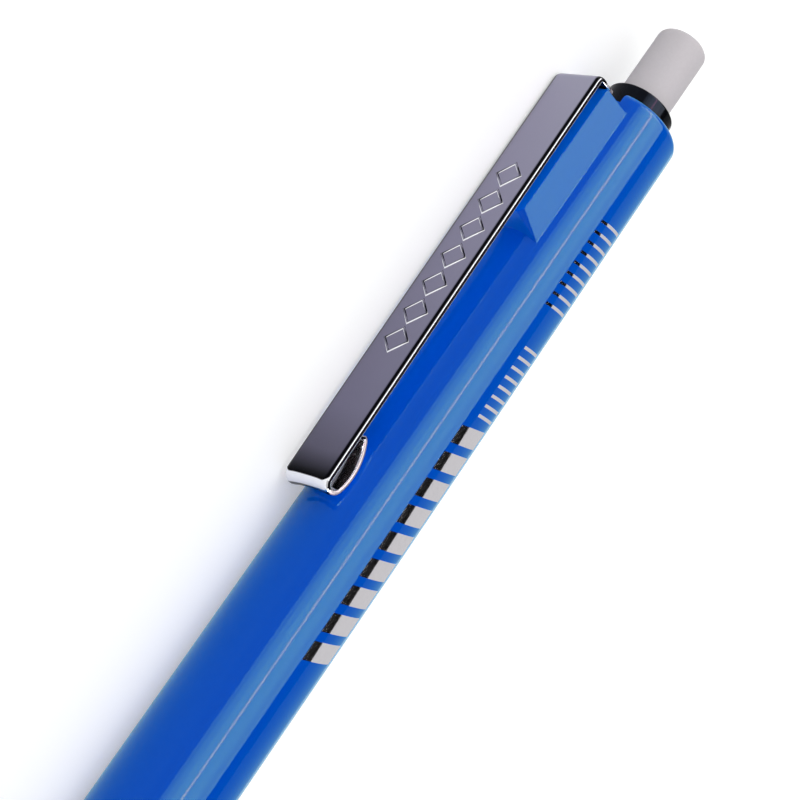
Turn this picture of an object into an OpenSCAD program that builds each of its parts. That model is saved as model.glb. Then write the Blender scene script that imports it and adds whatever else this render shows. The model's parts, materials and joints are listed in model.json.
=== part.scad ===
// Push-top mechanical pencil for 0.5 mm lead, lying on a table on its barrel and clip.
// Each piece is drawn upright, tip at z = 0, eraser up and clip towards +X; laid() then puts it down.
// Heights are measured along the pencil from the end of the lead sleeve.

/* [Barrel] */
// Outside diameter of the barrel
barrel_d = 10; // [9.8:0.1:10.4]
// Diameter of the barrel's front edge
barrel_front_d = 9.2; // [9:0.1:9.6]
// Diameter of the barrel's back edge, which has a little draft
barrel_back_d = 9.7; // [9.6:0.05:9.9]
// Height of the barrel's front edge
barrel_front = 20; // [19.5:0.5:21]
// Height of the barrel's back edge
barrel_back = 130.4; // [126:0.1:136]
// Length over which the front of the barrel tapers
barrel_taper_len = 22; // [15:1:30]
// Length of the straight stretch behind the taper
barrel_straight_len = 42; // [30:1:42]
// Radius of the barrel's rounded back edge
back_round = 0.8; // [0.5:0.1:1.1]
// Bore of the barrel
barrel_bore_d = 7.5; // [7.4:0.1:7.6]
// Depth of the narrower hole that guides the push button
button_hole_len = 14; // [12:0.5:14]
// Width of the notch in the barrel's rim, in front of the clip's fold
notch_w = 4.6; // [4:0.1:5]
// Depth of that notch
notch_len = 1.3; // [0.8:0.1:1.4]

/* [Clip block] */
// Width of the block that carries the clip, where it meets the barrel
block_w = 6.4; // [6.1:0.1:6.8]
// Width of the block's roof, narrower by the draft of its sides
block_roof_w = 5.7; // [5.5:0.1:6]
// Height of the block's roof above the pencil's axis
block_roof = 6.7; // [6.6:0.1:6.9]
// Length of the block's roof
block_len = 13.8; // [12:0.1:16]
// Extra length of the block's foot at its sloping lower end
block_ramp = 1.2; // [0.6:0.1:2]
// Distance from the barrel's back edge to the block's upper end
block_setback = 2; // [1.5:0.1:2.6]

/* [Clip] */
// Width of the clip strip
clip_w = 5.5; // [5:0.1:5.8]
// Thickness of the clip strip
clip_t = 0.55; // [0.4:0.05:0.6]
// Length of the clip from fold to tip
clip_len = 44.4; // [38:0.2:46]
// Height of the clip's outer face above the axis at the fold
clip_top = 8.1; // [7.9:0.1:8.4]
// Height of the clip's outer face above the axis at the tip
clip_tip = 7.2; // [7:0.05:7.3]
// How far the clip arm arches outwards at mid length
clip_bow = 0.05; // [0:0.05:0.3]
// Outside radius of the bends at the fold
fold_r = 0.8; // [0.7:0.05:0.9]
// Outside radius of the bend at the tip
tip_bend_r = 0.95; // [0.8:0.05:1]
// Outside radius of the strip that curls back under the tip
curl_r = 5; // [4.5:0.1:6.5]
// Outside radius of the last bend, which turns the curl's end up to the arm
hook_r = 0.8; // [0.75:0.05:1]
// Angle between the curl's end and the pencil's axis
hook_turn = 72; // [60:1:80]
// Gap between the curl and the barrel
curl_gap = 0.06; // [0.06:0.02:0.2]
// Gap between the curl's end and the arm above it
curl_close = 0.1; // [0.1:0.05:0.3]
// Width of the tongue that sits in the block
tongue_w = 4.4; // [3.6:0.1:4.6]
// Length of the tongue
tongue_len = 7.2; // [6:0.1:8]
// Height of the tongue's middle above the axis
tongue_rise = 5.4; // [5.35:0.05:5.5]
// Largest angle by which the clip opens, in degrees
clip_open = 3.5; // [2:0.5:3.5]

/* [Push button and eraser] */
// Diameter of the push button
button_d = 6.6; // [6.4:0.1:6.7]
// How far the push button stands out of the barrel
button_rise = 1.9; // [1.5:0.1:2.4]
// Length of the push button
button_len = 18.5; // [17:0.5:20]
// Diameter of the flange that keeps the button in the barrel
button_flange_d = 7.2; // [7.1:0.05:7.3]
// Length of that flange
button_flange_len = 2; // [1:0.5:3]
// Diameter of the eraser
eraser_d = 4.9; // [4.7:0.1:5]
// How far the eraser stands out of the push button
eraser_rise = 7.8; // [5:0.1:9]
// Radius of the eraser's rounded end
eraser_round = 0.7; // [0.4:0.1:1.2]
// Depth of the eraser's socket in the button
socket_len = 7.4; // [6:0.1:8]
// Thickness of the web below the socket
button_web = 1; // [0.8:0.1:1.4]
// Diameter of the filling hole in the web
filling_hole_d = 2.4; // [1.8:0.1:3]

/* [Tip] */
// Outside diameter of the lead sleeve
sleeve_d = 1; // [0.9:0.05:1.1]
// Bore of the lead sleeve
sleeve_bore_d = 0.62; // [0.6:0.01:0.66]
// Length of the lead sleeve
sleeve_len = 7.5; // [7:0.1:8]
// Diameter of the sleeve's thicker root inside the cone
sleeve_root_d = 1.2; // [1.1:0.05:1.3]
// Length of sleeve that stands out of the cone
sleeve_rise = 3; // [2.5:0.1:4]
// Diameter of the cone's nose
cone_nose_d = 2.2; // [1.9:0.1:2.6]
// Length of the straight rim at the back of the cone
cone_rim_len = 2; // [1.5:0.1:3]
// Step between the cone's rim and the barrel's edge
cone_step = 0.1; // [0:0.05:0.2]
// Diameter of the screwed spigot behind the cone
spigot_d = 7.8; // [7.7:0.05:7.9]
// Length of the screwed spigot
spigot_len = 7; // [6:0.5:8]
// Diameter of the rubber lead retainer
retainer_d = 3.4; // [3:0.1:3.6]
// Length of the rubber lead retainer
retainer_len = 2.8; // [2.4:0.1:3]
// Diameter of the room in the cone for the chuck's head
chuck_room_d = 4.3; // [4.2:0.05:4.4]

/* [Chuck] */
// Travel of the push button
knock_travel = 3.5; // [3:0.1:3.6]
// Length of the chuck
chuck_len = 21.5; // [20:0.5:22.5]
// Largest diameter of the chuck's head
chuck_head_d = 3.8; // [3.6:0.1:3.9]
// Diameter of the chuck's front face
chuck_face_d = 2.4; // [2:0.1:2.8]
// Diameter of the chuck's stem
chuck_stem_d = 2.5; // [2.4:0.1:2.6]
// Number of jaws
jaw_count = 3; // [2:1:4]
// Width of the slits between the jaws
slit_w = 0.3; // [0.2:0.05:0.4]
// Length of the slits
slit_len = 12; // [10:0.5:14]
// Length of the chuck's ring
ring_len = 3; // [2.6:0.1:3.4]
// Outside diameter of the chuck's ring
ring_d = 4.1; // [4:0.05:4.15]

/* [Guide sleeve and spring] */
// Outside diameter of the guide sleeve
guide_d = 6; // [5.8:0.1:6.2]
// Length of the guide sleeve
guide_len = 15.8; // [15:0.1:16]
// Depth of the room for the ring
guide_ring_room = 5; // [4.6:0.1:5.4]
// Thickness of the shoulder that the spring pushes on
guide_shoulder = 2; // [1.5:0.1:2.4]
// Bore of the room for the spring
spring_room_d = 4.6; // [4.5:0.05:4.7]
// Middle diameter of the spring
spring_d = 3.5; // [3.4:0.05:3.6]
// Diameter of the spring's wire
spring_wire_d = 0.4; // [0.3:0.05:0.4]
// Number of turns of the spring
spring_turns = 7; // [5:1:7]

/* [Coupler, reservoir and leads] */
// Diameter of the coupler's front end
coupler_nose_d = 4.4; // [4.2:0.1:4.5]
// Length of the coupler's front end
coupler_nose_len = 5; // [4.6:0.1:5.4]
// Diameter of the coupler's flange
coupler_flange_d = 5.9; // [5.4:0.1:6.4]
// Length of the coupler's flange
coupler_flange_len = 1.5; // [1:0.1:2]
// Length of the coupler's spigot in the reservoir
coupler_spigot_len = 5.5; // [4:0.5:6]
// Depth of the chuck's seat in the coupler
coupler_seat_len = 4; // [3:0.1:4.5]
// Outside diameter of the reservoir
reservoir_d = 5.2; // [5:0.1:5.3]
// Bore of the reservoir
reservoir_bore_d = 3.8; // [3.6:0.1:4]
// Diameter of a lead
lead_d = 0.56; // [0.54:0.01:0.57]
// Length of a lead
lead_len = 60; // [50:1:60]
// How far the lead stands out of the lead sleeve
lead_rise = 0.6; // [0:0.1:1]
// Distance of the spare leads from the axis
spare_offset = 1.2; // [1:0.05:1.4]

/* [Hidden] */
$fn = 96;

// Radial gaps: running fit of the moving tubes, seat of pieces that stay together, grip on the lead
run_gap = 0.1;
seat_gap = 0.02;
lead_gap = 0.02;
// End gap between pieces that sit against each other, and room beyond the end of a travel
face_gap = 0.1;
end_room = 0.5;
// Overshoot that lets a cut pass clean through a face
cut = 1;
// Steps along a rounded edge and along the clip's arm
arc_steps = 10;
arm_steps = 8;
// Radius of the small rounded edges of the button and the cone's nose
edge_round = 0.25;

barrel_r = barrel_d / 2;
block_end = barrel_back - block_setback;
block_foot = sqrt(barrel_r ^ 2 - (block_w / 2) ^ 2);
// Depth of the block's root in the barrel's wall
block_root = 0.2;

// The clip's middle line: flange beside the block's end, then the arm down to the tip
flange_height = block_end + face_gap / 2 + clip_t / 2;
bend_r = fold_r - clip_t / 2;
tip_r = tip_bend_r - clip_t / 2;
arm_start = flange_height - bend_r;
tip_height = flange_height + clip_t / 2 - clip_len;
arm_span = arm_start - tip_height - tip_bend_r;
curl_depth = clip_tip - barrel_r - curl_gap;
curl_entry = acos((curl_r + tip_bend_r - curl_depth) / (curl_r - tip_bend_r));
hook_rise = curl_depth - clip_t * (1 + cos(hook_turn)) - curl_close;
curl_exit = acos((curl_r - hook_r * cos(hook_turn) - hook_rise) / (curl_r - hook_r));

// Angle of the clip below the table's horizon when the barrel and the clip's corner touch the table
rest_tilt = 90 - acos(barrel_r / norm([clip_top, clip_w / 2])) - atan(clip_w / 2 / clip_top);

button_top = barrel_back + button_rise;
button_foot = button_top - button_len;
socket_foot = button_top - socket_len;
reservoir_top = socket_foot - button_web - face_gap;
eraser_foot = socket_foot + face_gap;
eraser_top = button_top + eraser_rise;

cone_back_d = barrel_front_d - 2 * cone_step;
spigot_top = barrel_front + spigot_len;
retainer_foot = sleeve_len + face_gap;
chuck_room = retainer_foot + retainer_len + face_gap;
chuck_foot = chuck_room + knock_travel + end_room;
chuck_head_len = 4.4;
chuck_land = [0.8, 1.4];
jaw_bore_d = lead_d + 2 * lead_gap;
stem_bore_d = 0.9;
jaw_len = 6;
ring_seat = 2.5;
ring_foot = chuck_foot + ring_seat;
guide_foot = ring_foot;
guide_top = guide_foot + guide_len;
spring_foot = guide_foot + guide_ring_room + guide_shoulder;
coupler_foot = chuck_foot + chuck_len - coupler_seat_len;
spring_len = coupler_foot - spring_foot - 2 * face_gap - spring_wire_d;
coupler_flange = coupler_foot + coupler_nose_len;
reservoir_foot = coupler_flange + coupler_flange_len + face_gap;
coupler_top = reservoir_foot + coupler_spigot_len;
funnel_d = 3;
lead_hole_d = 1.2;
spare_clear = 2;
spare_foot = coupler_top + spare_clear;
spare_count = 3;

blue = [0, 0.28, 0.72];
chrome = [0.72, 0.71, 0.74];
steel = [0.6, 0.6, 0.62];
brass = [0.78, 0.62, 0.32];
black = [0.05, 0.05, 0.06];
rubber_grey = [0.78, 0.76, 0.78];
graphite = [0.16, 0.16, 0.17];
clear_plastic = [0.86, 0.88, 0.9];

echo(rest_tilt = rest_tilt, overall = eraser_top + lead_rise, curl_entry = curl_entry, curl_exit = curl_exit);
echo(spring_gap = spring_len / spring_turns - spring_wire_d);

// Puts a piece that is drawn upright into its lying position
module laid() {
    rotate([90 + rest_tilt, 0, 0])
        rotate([0, -90, 0])
            children();
}

// Upright cylinder between two heights
module rod(d, from, to) {
    translate([0, 0, from])
        cylinder(d = d, h = to - from);
}

// Round hole between two heights, with overshoot at either end
module hole(d, from, to, below = 0, above = 0) {
    rod(d, from - below, to + above);
}

// Points of an arc about a centre
function arc(centre, r, from, to, steps = arc_steps) =
    [for (i = [0:steps]) let (a = from + (to - from) * i / steps) centre + r * [cos(a), sin(a)]];

// Unit vector to the left of a path at point i
function left_of(path, i) =
    let (
        a = path[max(i - 1, 0)],
        b = path[min(i + 1, len(path) - 1)],
        d = (b - a) / norm(b - a)
    ) [-d.y, d.x];

// Outline of a strip of thickness t along a path
function strip(path, t) = concat(
    [for (i = [0:len(path) - 1]) path[i] + left_of(path, i) * t / 2],
    [for (i = [len(path) - 1:-1:0]) path[i] - left_of(path, i) * t / 2]
);

// Side view of a piece in [height above the axis, height along the pencil], made w wide
module across(w, outline) {
    rotate([90, 0, 0])
        linear_extrude(w, center = true)
            polygon(outline);
}

// Height of the clip's middle line above the axis, q running from 0 at the fold to 1 at the tip
function arm_rise(q) = clip_top + (clip_tip - clip_top) * q + 4 * clip_bow * q * (1 - q) - clip_t / 2;

// Barrel with its block, bores and the slot for the clip's tongue
module barrel() {
    straight_foot = barrel_front + barrel_taper_len;
    outline = concat(
        [[0, barrel_front], [barrel_front_d / 2, barrel_front]],
        [[barrel_r, straight_foot], [barrel_r, straight_foot + barrel_straight_len]],
        arc([barrel_back_d / 2 - back_round, barrel_back - back_round], back_round, 0, 90),
        [[0, barrel_back]]
    );
    color(blue) laid() difference() {
        union() {
            rotate_extrude() polygon(outline);
            clip_block();
        }
        hole(barrel_bore_d, barrel_front, barrel_back - button_hole_len, below = cut);
        hole(spigot_d + 2 * seat_gap, barrel_front, spigot_top, below = cut);
        hole(button_d + 2 * run_gap, barrel_back - button_hole_len, barrel_back, below = cut, above = cut);
        tongue_slot();
        rim_notch();
    }
}

// Block with drafted sides and a sloping lower end, rooted in the barrel's wall
module clip_block() {
    roof_foot = block_end - block_len;
    root = block_foot - block_root;
    ramp = block_ramp * (block_roof - root) / (block_roof - block_foot);
    draft = (block_w - block_roof_w) / 2 / (block_roof - block_foot);
    low = root - cut;
    high = block_roof + cut;
    low_side = block_w / 2 + draft * (block_foot - low);
    high_side = block_roof_w / 2 - draft * cut;
    intersection() {
        across(barrel_d, [
            [block_roof, block_end],
            [block_roof, roof_foot],
            [root, roof_foot - ramp],
            [root, block_end]
        ]);
        linear_extrude(barrel_back)
            polygon([[low, low_side], [low, -low_side], [high, -high_side], [high, high_side]]);
    }
}

// Slot for the tongue, flared so that the tongue can tilt as the clip opens
module tongue_slot() {
    gap = face_gap;
    floor_rise = tongue_rise - clip_t / 2 - gap;
    roof_rise = tongue_rise + clip_t / 2 + gap;
    depth = tongue_len + gap;
    flare = depth * tan(clip_open);
    across(tongue_w + 2 * gap, [
        [floor_rise, block_end + cut],
        [roof_rise, block_end + cut],
        [roof_rise, block_end],
        [roof_rise + flare, block_end - depth],
        [floor_rise, block_end - depth]
    ]);
}

// Notch through the barrel's rim, so that the fold stands clear
module rim_notch() {
    across(notch_w, [
        [0, barrel_back - notch_len],
        [barrel_r + cut, barrel_back - notch_len],
        [barrel_r + cut, barrel_back + cut],
        [0, barrel_back + cut]
    ]);
}

// Strip clip: tongue, fold, arched arm and the tip that curls back under and ends below the arm
module pocket_clip() {
    lower_bend = [tongue_rise + bend_r, arm_start];
    upper_bend = [arm_rise(0) - bend_r, arm_start];
    tip_bend = [arm_rise(1) - tip_r, tip_height + tip_bend_r];
    curl_angle = -180 + curl_entry;
    curl_centre = tip_bend - (curl_r - tip_bend_r) * [cos(curl_angle), sin(curl_angle)];
    hook_angle = -180 - curl_exit;
    hook_centre = curl_centre + (curl_r - hook_r) * [cos(hook_angle), sin(hook_angle)];
    tongue = concat(
        [[tongue_rise, flange_height - tongue_len]],
        arc(lower_bend, bend_r, 180, 90),
        [[lower_bend.x + clip_t, flange_height]]
    );
    arm = concat(
        [[lower_bend.x, flange_height]],
        arc(upper_bend, bend_r, 90, 0),
        [for (i = [1:arm_steps]) [arm_rise(i / arm_steps), arm_start - arm_span * i / arm_steps]],
        arc(tip_bend, tip_r, -90 / arc_steps, curl_angle),
        arc(curl_centre, curl_r - clip_t / 2, curl_angle - curl_exit / arc_steps, hook_angle),
        arc(hook_centre, hook_r - clip_t / 2, hook_angle - hook_turn / arc_steps, -180 - hook_turn)
    );
    color(chrome) laid() {
        across(tongue_w, strip(tongue, clip_t));
        across(clip_w, strip(arm, clip_t));
    }
}

// Push button: retaining flange, socket for the reservoir, web with a filling hole, socket for the eraser
module knock_button() {
    rim = arc([button_d / 2 - edge_round, button_top - edge_round], edge_round, 0, 90);
    outline = concat(
        [[0, button_foot], [button_flange_d / 2, button_foot]],
        [[button_flange_d / 2, button_foot + button_flange_len]],
        [[button_d / 2, button_foot + button_flange_len]],
        rim,
        [[0, button_top]]
    );
    color(black) laid() difference() {
        rotate_extrude() polygon(outline);
        hole(reservoir_d + 2 * seat_gap, button_foot, socket_foot - button_web, below = cut);
        hole(filling_hole_d, socket_foot - button_web, socket_foot, below = cut, above = cut);
        hole(eraser_d + 2 * seat_gap, socket_foot, button_top, above = cut);
    }
}

// Eraser rod with a rounded end
module eraser() {
    rim = arc([eraser_d / 2 - eraser_round, eraser_top - eraser_round], eraser_round, 0, 90);
    color(rubber_grey) laid()
        rotate_extrude()
            polygon(concat([[0, eraser_foot], [eraser_d / 2, eraser_foot]], rim, [[0, eraser_top]]));
}

// Cone with its spigot, and rooms for the sleeve, the retainer, the chuck and the guide sleeve
module tip_cone() {
    nose = arc([cone_nose_d / 2 - edge_round, sleeve_rise + edge_round], edge_round, -90, 0);
    outline = concat(
        [[0, sleeve_rise]],
        nose,
        [[cone_back_d / 2, barrel_front - cone_rim_len], [cone_back_d / 2, barrel_front]],
        [[spigot_d / 2, barrel_front], [spigot_d / 2, spigot_top], [0, spigot_top]]
    );
    color(chrome) laid() difference() {
        rotate_extrude() polygon(outline);
        hole(sleeve_d + 2 * seat_gap, sleeve_rise, sleeve_len, below = cut);
        hole(sleeve_root_d + 2 * seat_gap, sleeve_rise + face_gap - seat_gap, sleeve_len, above = seat_gap);
        hole(retainer_d + 2 * seat_gap, sleeve_len, chuck_room, above = cut);
        hole(chuck_room_d, chuck_room, guide_foot, above = cut);
        hole(guide_d + 2 * seat_gap, guide_foot - face_gap, spigot_top, above = cut);
    }
}

// Thin steel tube that guides the lead
module lead_sleeve() {
    color(steel) laid() difference() {
        union() {
            rod(sleeve_d, 0, sleeve_rise + face_gap);
            rod(sleeve_root_d, sleeve_rise + face_gap, sleeve_len);
        }
        hole(sleeve_bore_d, 0, sleeve_len, below = cut, above = cut);
    }
}

// Rubber bush that holds the lead while the chuck goes back
module lead_retainer() {
    color(black) laid() difference() {
        rod(retainer_d, retainer_foot, retainer_foot + retainer_len);
        hole(jaw_bore_d, retainer_foot, retainer_foot + retainer_len, below = cut, above = cut);
    }
}

// Collet with three jaws: the head tapers back to the stem, so the ring closes it
module chuck() {
    outline = [
        [0, chuck_foot],
        [chuck_face_d / 2, chuck_foot],
        [chuck_head_d / 2, chuck_foot + chuck_land.x],
        [chuck_head_d / 2, chuck_foot + chuck_land.y],
        [chuck_stem_d / 2, chuck_foot + chuck_head_len],
        [chuck_stem_d / 2, chuck_foot + chuck_len],
        [0, chuck_foot + chuck_len]
    ];
    color(brass) laid() difference() {
        rotate_extrude() polygon(outline);
        hole(jaw_bore_d, chuck_foot, chuck_foot + jaw_len, below = cut, above = cut);
        hole(stem_bore_d, chuck_foot + jaw_len, chuck_foot + chuck_len, above = cut);
        for (i = [0:jaw_count - 1])
            rotate([0, 0, 360 * i / jaw_count])
                translate([0, -slit_w / 2, chuck_foot - cut])
                    cube([chuck_head_d, slit_w, slit_len + cut]);
    }
}

// Ring whose taper follows the chuck's head
module chuck_ring() {
    taper = (chuck_head_d - chuck_stem_d) / 2 / (chuck_head_len - chuck_land.y);
    neck = chuck_foot + chuck_head_len;
    bore_r = chuck_stem_d / 2 + run_gap;
    color(brass) laid() difference() {
        rod(ring_d, ring_foot, ring_foot + ring_len);
        hole(2 * bore_r, ring_foot, ring_foot + ring_len, below = cut, above = cut);
        translate([0, 0, ring_foot - cut])
            cylinder(h = neck - ring_foot + cut, r1 = bore_r + taper * (neck - ring_foot + cut), r2 = bore_r);
    }
}

// Guide sleeve: room for the ring, shoulder for the spring, room for the spring
module chuck_sleeve() {
    shoulder = guide_foot + guide_ring_room;
    color(black) laid() difference() {
        rod(guide_d, guide_foot, guide_top);
        hole(ring_d + 2 * run_gap, guide_foot, shoulder, below = cut);
        hole(chuck_stem_d + 2 * run_gap, shoulder, spring_foot, below = cut, above = cut);
        hole(spring_room_d, spring_foot, guide_top, above = cut);
    }
}

// Coil spring, one tube along a helix
module return_spring() {
    rings_per_turn = 8;
    sides = 6;
    rings = spring_turns * rings_per_turn;
    start = spring_foot + face_gap + spring_wire_d / 2;
    points = [
        for (i = [0:rings], k = [0:sides - 1])
            let (
                turn = 360 * i / rings_per_turn,
                round_wire = 360 * k / sides,
                r = spring_d / 2 + spring_wire_d / 2 * cos(round_wire),
                height = start + spring_len * i / rings + spring_wire_d / 2 * sin(round_wire)
            )
            [r * cos(turn), r * sin(turn), height]
    ];
    walls = [
        for (i = [0:rings - 1], k = [0:sides - 1], half = [0, 1])
            let (
                a = i * sides + k,
                b = i * sides + (k + 1) % sides
            )
            half == 0 ? [a, a + sides, b] : [b, a + sides, b + sides]
    ];
    first_cap = [for (k = [1:sides - 2]) [0, k, k + 1]];
    last = rings * sides;
    last_cap = [for (k = [1:sides - 2]) [last, last + k + 1, last + k]];
    color(steel) laid()
        polyhedron(points, concat(walls, first_cap, last_cap));
}

// Bush that holds the chuck's stem and plugs into the reservoir, with a funnel for the leads
module reservoir_coupler() {
    seat_top = coupler_foot + coupler_seat_len;
    color(clear_plastic) laid() difference() {
        union() {
            rod(coupler_nose_d, coupler_foot, coupler_flange);
            rod(coupler_flange_d, coupler_flange, coupler_flange + coupler_flange_len);
            rod(reservoir_bore_d - 2 * seat_gap, coupler_flange, coupler_top);
        }
        hole(chuck_stem_d + 2 * seat_gap, coupler_foot, seat_top, below = cut);
        hole(lead_hole_d, seat_top, coupler_top, below = cut, above = cut);
        translate([0, 0, coupler_top - coupler_spigot_len])
            cylinder(d1 = lead_hole_d, d2 = funnel_d, h = coupler_spigot_len);
    }
}

// Tube that holds the spare leads
module lead_reservoir() {
    color(clear_plastic) laid() difference() {
        rod(reservoir_d, reservoir_foot, reservoir_top);
        hole(reservoir_bore_d, reservoir_foot, reservoir_top, below = cut, above = cut);
    }
}

// Lead in use, from just outside the sleeve up through the chuck
module writing_lead() {
    color(graphite) laid()
        rod(lead_d, -lead_rise, lead_len - lead_rise);
}

// One of the leads standing round the inside of the reservoir
module spare_lead(i) {
    color(graphite) laid()
        rotate([0, 0, 360 * i / spare_count])
            translate([spare_offset, 0, 0])
                rod(lead_d, spare_foot, spare_foot + lead_len);
}

barrel();
pocket_clip();
knock_button();
eraser();
tip_cone();
lead_sleeve();
lead_retainer();
chuck();
chuck_ring();
chuck_sleeve();
return_spring();
reservoir_coupler();
lead_reservoir();
writing_lead();
spare_lead(0);  // spare_lead_1
spare_lead(1);  // spare_lead_2
spare_lead(2);  // spare_lead_3
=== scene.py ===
"""Looks of a push-top mechanical pencil that lies on a table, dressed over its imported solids.

Pieces are drawn upright in millimetres, with the tip at height 0, the eraser up and the clip towards +x.
LAID then puts them into the frame, where the pencil lies along X with its eraser end towards -X.
"""

import json
from math import acos, asin, atan2, cos, degrees, pi, radians, sin, tan, tau

import bmesh
import bpy
from mathutils import Matrix, Vector, noise


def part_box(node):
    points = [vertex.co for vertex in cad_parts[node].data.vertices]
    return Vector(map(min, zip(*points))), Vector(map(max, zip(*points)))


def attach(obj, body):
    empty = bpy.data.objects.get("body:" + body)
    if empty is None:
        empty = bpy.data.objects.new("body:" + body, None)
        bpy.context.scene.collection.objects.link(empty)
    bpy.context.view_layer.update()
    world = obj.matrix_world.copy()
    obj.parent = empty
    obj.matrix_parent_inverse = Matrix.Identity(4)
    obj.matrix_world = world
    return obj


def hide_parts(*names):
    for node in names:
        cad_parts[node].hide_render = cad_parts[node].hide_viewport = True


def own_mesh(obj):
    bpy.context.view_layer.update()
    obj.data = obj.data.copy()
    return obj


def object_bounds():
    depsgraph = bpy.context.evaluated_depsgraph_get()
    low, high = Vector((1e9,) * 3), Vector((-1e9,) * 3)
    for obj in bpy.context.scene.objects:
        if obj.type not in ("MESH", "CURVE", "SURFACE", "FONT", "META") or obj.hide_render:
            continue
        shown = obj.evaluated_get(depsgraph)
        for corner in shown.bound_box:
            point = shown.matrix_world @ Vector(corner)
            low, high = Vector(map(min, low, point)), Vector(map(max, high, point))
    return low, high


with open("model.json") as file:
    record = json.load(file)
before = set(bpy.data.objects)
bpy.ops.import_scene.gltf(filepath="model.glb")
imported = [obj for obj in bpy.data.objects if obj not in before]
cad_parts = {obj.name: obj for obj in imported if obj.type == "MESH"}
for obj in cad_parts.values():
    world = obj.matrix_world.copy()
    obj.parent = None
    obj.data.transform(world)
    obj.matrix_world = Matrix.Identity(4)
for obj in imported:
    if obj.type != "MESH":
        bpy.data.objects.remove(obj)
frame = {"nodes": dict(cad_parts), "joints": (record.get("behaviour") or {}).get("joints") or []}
cad_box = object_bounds()

MM = 0.001

# Barrel and clip block, in millimetres
BARREL_R = 5.0
BARREL_FRONT_R = 4.6
BARREL_BACK_R = 4.85
TAPER_LEN = 22.0
STRAIGHT_LEN = 42.0
BACK_ROUND = 0.8
BORE_R = 3.75
BUTTON_HOLE_R = 3.4
BUTTON_HOLE_LEN = 14.0
NOTCH_W = 4.6
NOTCH_LEN = 1.3
NOTCH_ROUND = 0.4
SPIGOT_HOLE_R = 3.92
BLOCK_FOOT_HALF_W = 3.2
BLOCK_ROOF_HALF_W = 2.85
BLOCK_ROOF = 6.7
BLOCK_SETBACK = 2.0
BLOCK_LEN = 13.8
BLOCK_RAMP = 1.2
RAMP_CORNER_IN = 0.63
RAMP_CORNER_DOWN = 0.37
MOULDED_EDGE = 0.12

# Clip strip, in millimetres and degrees
CLIP_W = 5.5
CLIP_T = 0.55
CLIP_LEN = 44.4
CLIP_TOP = 8.1
CLIP_TIP = 7.2
CLIP_BOW = 0.05
FOLD_R = 0.8
TIP_BEND_R = 0.95
CURL_R = 5.0
HOOK_R = 0.8
HOOK_TURN = 72.0
CURL_GAP = 0.06
CURL_CLOSE = 0.1
CURL_DISH = 0.33
TONGUE_W = 4.4
TONGUE_LEN = 7.2
TONGUE_RISE = 5.4
FACE_GAP = 0.1
CLIP_OPEN = 3.5

# Rounding of the strip's edges in millimetres, through its thickness and across its width
CLIP_OUTER_EDGE = (0.38, 0.62)
CLIP_INNER_EDGE = (0.12, 0.12)
CLIP_END_EDGE = 0.06

# Embossed lozenges on the clip, in millimetres
LOZENGE_COUNT = 7
LOZENGE_FIRST = 117.0
LOZENGE_PITCH = 3.0
LOZENGE_LEN = 2.5
LOZENGE_HALF_W = 1.4
LOZENGE_LINE = 0.5
LOZENGE_RISE = 0.1

# Push button, eraser, tip and spring, in millimetres and shares of the eraser's flat end
BUTTON_R = 3.3
BUTTON_FLANGE_LEN = 2.0
BUTTON_RIM = 0.25
SOCKET_R = 2.47
SOCKET_LEN = 7.4
BUTTON_WEB = 1.0
FILLING_R = 1.2
RESERVOIR_HOLE_R = 2.62
ERASER_ROUND = 0.7
ERASER_UNEVEN = 0.03
ERASER_END_SHARES = (0.66, 0.33, 0)
CONE_NOSE_R = 1.1
CONE_RIM_LEN = 2.0
CONE_EDGE = 0.25
CONE_GROOVE = 0.12
SLEEVE_HOLE_R = 0.52
SLEEVE_ROOT_HOLE_R = 0.62
SLEEVE_END = 7.5
RETAINER_HOLE_R = 1.72
CHUCK_ROOM = 10.5
CHUCK_ROOM_R = 2.15
GUIDE_ROOM = 16.9
GUIDE_ROOM_R = 3.02
SPIGOT_R = 3.9
SPRING_R = 1.75
SPRING_WIRE_R = 0.2
SPRING_TURNS = 7

# Foil ornament on the barrel: rows of leaning bars, in millimetres and degrees
FOIL_T = 0.012
FOIL_END_ANGLE = 124.0
FOIL_ROWS = [
    {"foot": 72.6, "bars": 9, "pitch": 2.75, "width": 1.85, "angle": 83.5, "lean": 1.5},
    {"foot": 98.0, "bars": 8, "pitch": 1.05, "width": 0.3, "angle": 94.0, "lean": 0.8},
    {"foot": 109.6, "bars": 9, "pitch": 1.15, "width": 0.3, "angle": 84.0, "lean": 1.0},
]

# Steps of round shapes, and limits in degrees and millimetres for rounding, smoothing and merging
COLUMNS = 96
BLOCK_COLUMNS = 8
ARC_STEPS = 10
ARM_STEPS = 24
EDGE_STEPS = 6
WIDTH_STEPS = 6
TURN_STEPS = 24
WIRE_STEPS = 10
RIDGE_STEPS = 8
BEVEL_STEPS = 3
BEVEL_ANGLE = 28.0
SHARP_ANGLE = 50.0
MERGE_DISTANCE = 0.001
SHORTEST_EDGE = 0.0001

# View of the photograph, in degrees and millimetres: the axis at ANCHOR_HEIGHT stands at ANCHOR_IN_VIEW
LENS = 100.0
VIEW_TILT = 18.997
VIEW_ROLL = 40.0
VIEW_TURN = 55.039
ANCHOR_HEIGHT = 129.602
ANCHOR_IN_VIEW = Vector((20.085, 24.128, -198.143))


def joint(name):
    """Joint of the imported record, by its name."""
    return next(j for j in frame["joints"] if j["name"] == name)


near_side = -Vector(joint("clip_flex")["axis"])
LAID = Matrix.Rotation(atan2(near_side.z, near_side.y), 4, "X")
LAID = LAID @ Matrix.Rotation(-pi / 2, 4, "Y") @ Matrix.Scale(MM, 4)


def turned(node):
    """Lower height, upper height and outside radius of a turned node, in millimetres."""
    low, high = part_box(node)
    return -high.x / MM, -low.x / MM, (high.z - low.z) / 2 / MM


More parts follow.
